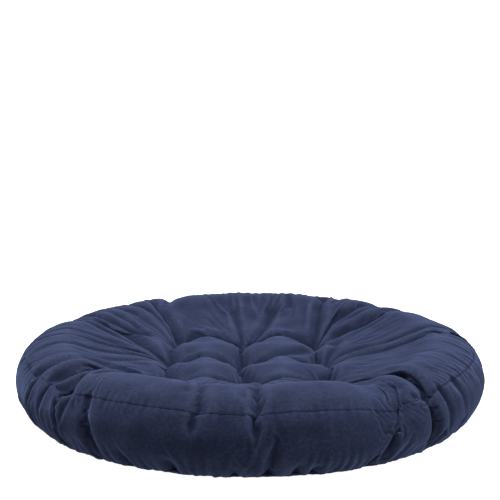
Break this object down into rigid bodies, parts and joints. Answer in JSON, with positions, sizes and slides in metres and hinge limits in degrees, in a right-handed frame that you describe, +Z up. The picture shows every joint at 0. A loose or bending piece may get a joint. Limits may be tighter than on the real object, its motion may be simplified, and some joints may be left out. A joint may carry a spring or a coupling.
{
  "type": "seat cushion",
  "caption": "Round boxed-edge seat cushion in navy fabric, fibre filled and tufted through with thread; lies flat on a chair or the floor.",
  "frame": {"origin": "middle of the underside, on the surface it rests on", "axes": "+Z up, through the thickness; -Y is the front; the strip's ends and the hand-sewn opening are at the back, on +Y"},
  "size_m": [0.56, 0.56, 0.0903],
  "materials": {
    "navy_fabric": "matt fine-wale brushed fabric, navy",
    "fibre_filling": "loose white polyester fibre, inside the cover",
    "navy_thread": "matt navy sewing thread"
  },
  "bodies": {
    "root": {"top_panel": "navy_fabric", "side_band": "navy_fabric", "bottom_panel": "navy_fabric", "filling": "fibre_filling", "top_seam_thread": "navy_thread", "bottom_seam_thread": "navy_thread", "closing_stitch_thread": "navy_thread", "band_join_thread": "navy_thread", "tuft_thread_back_left": "navy_thread", "tuft_thread_back_centre": "navy_thread", "tuft_thread_back_right": "navy_thread", "tuft_thread_middle_left": "navy_thread", "tuft_thread_middle_centre": "navy_thread", "tuft_thread_middle_right": "navy_thread", "tuft_thread_front_left": "navy_thread", "tuft_thread_front_centre": "navy_thread", "tuft_thread_front_right": "navy_thread"}
  },
  "joints": []
}
